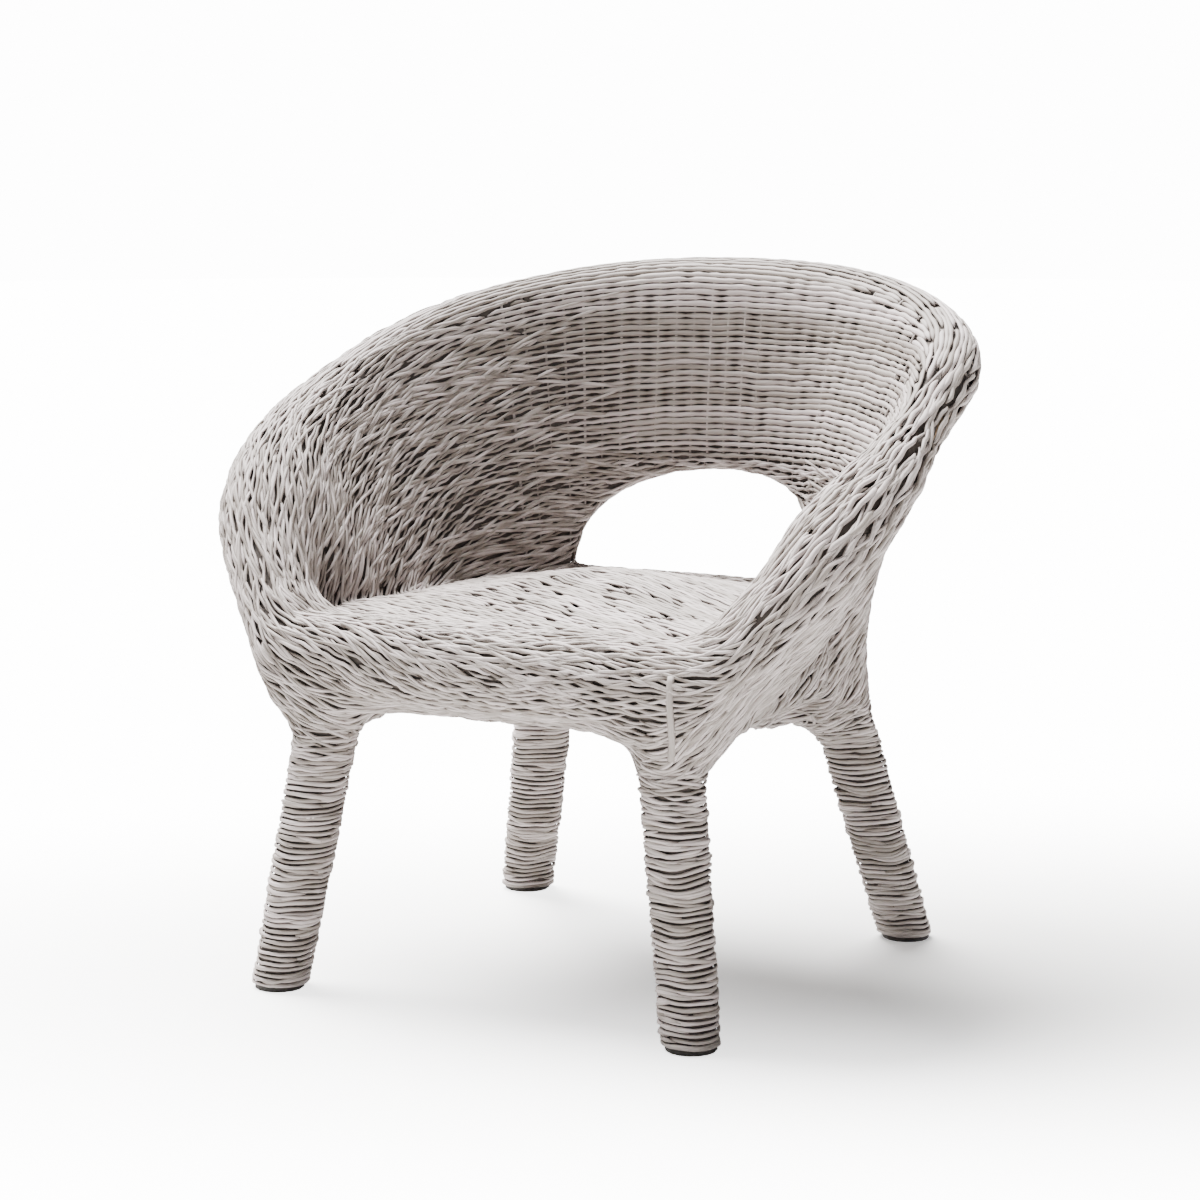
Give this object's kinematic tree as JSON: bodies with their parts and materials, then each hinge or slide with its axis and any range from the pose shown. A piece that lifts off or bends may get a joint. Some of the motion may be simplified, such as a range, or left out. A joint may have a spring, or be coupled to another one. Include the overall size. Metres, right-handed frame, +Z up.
{
  "type": "wicker garden chair",
  "caption": "Low barrel-backed wicker armchair with a fat rolled rim that falls into the arms, a crowned woven seat, an open arch under the back and splayed legs wound with cane.",
  "frame": {"origin": "on the floor under the middle of the chair's overall box", "axes": "+X towards the sitter's left arm, the chair's widest direction; +Y towards the back; +Z up"},
  "size_m": [0.8574, 0.6902, 0.7785],
  "materials": {
    "cane": "weathered off-white cane, matt",
    "pole": "bare bent pole, matt",
    "bolt": "plain steel",
    "foot": "dark, matt"
  },
  "bodies": {
    "root": {"apron_weave_front": "cane", "apron_weave_rear": "cane", "arch_pole": "pole", "back_stake_1": "pole", "back_stake_2": "pole", "back_stake_3": "pole", "back_stake_4": "pole", "back_stake_5": "pole", "back_stake_6": "pole", "back_stake_7": "pole", "back_weave": "cane", "binding_strip": "cane", "deck_weave": "cane", "leg_collar_front_left": "cane", "leg_collar_front_right": "cane", "leg_collar_rear_left": "cane", "leg_collar_rear_right": "cane", "leg_foot_front_left": "foot", "leg_foot_front_right": "foot", "leg_foot_rear_left": "foot", "leg_foot_rear_right": "foot", "leg_post_front_left": "pole", "leg_post_front_right": "pole", "leg_post_rear_left": "pole", "leg_post_rear_right": "pole", "leg_winding_front_left": "cane", "leg_winding_front_right": "cane", "leg_winding_rear_left": "cane", "leg_winding_rear_right": "cane", "rail_bolt_front_left": "bolt", "rail_bolt_front_right": "bolt", "rail_bolt_rear_left": "bolt", "rail_bolt_rear_right": "bolt", "rear_upright_left": "pole", "rear_upright_right": "pole", "rim_pole": "pole", "seat_rail_front": "pole", "seat_rail_left": "pole", "seat_rail_rear": "pole", "seat_rail_right": "pole", "seat_slat_1": "pole", "seat_slat_2": "pole", "seat_slat_3": "pole", "seat_slat_4": "pole", "seat_slat_5": "pole", "side_stake_left_1": "pole", "side_stake_left_2": "pole", "side_stake_left_3": "pole", "side_stake_right_1": "pole", "side_stake_right_2": "pole", "side_stake_right_3": "pole"}
  },
  "joints": []
}
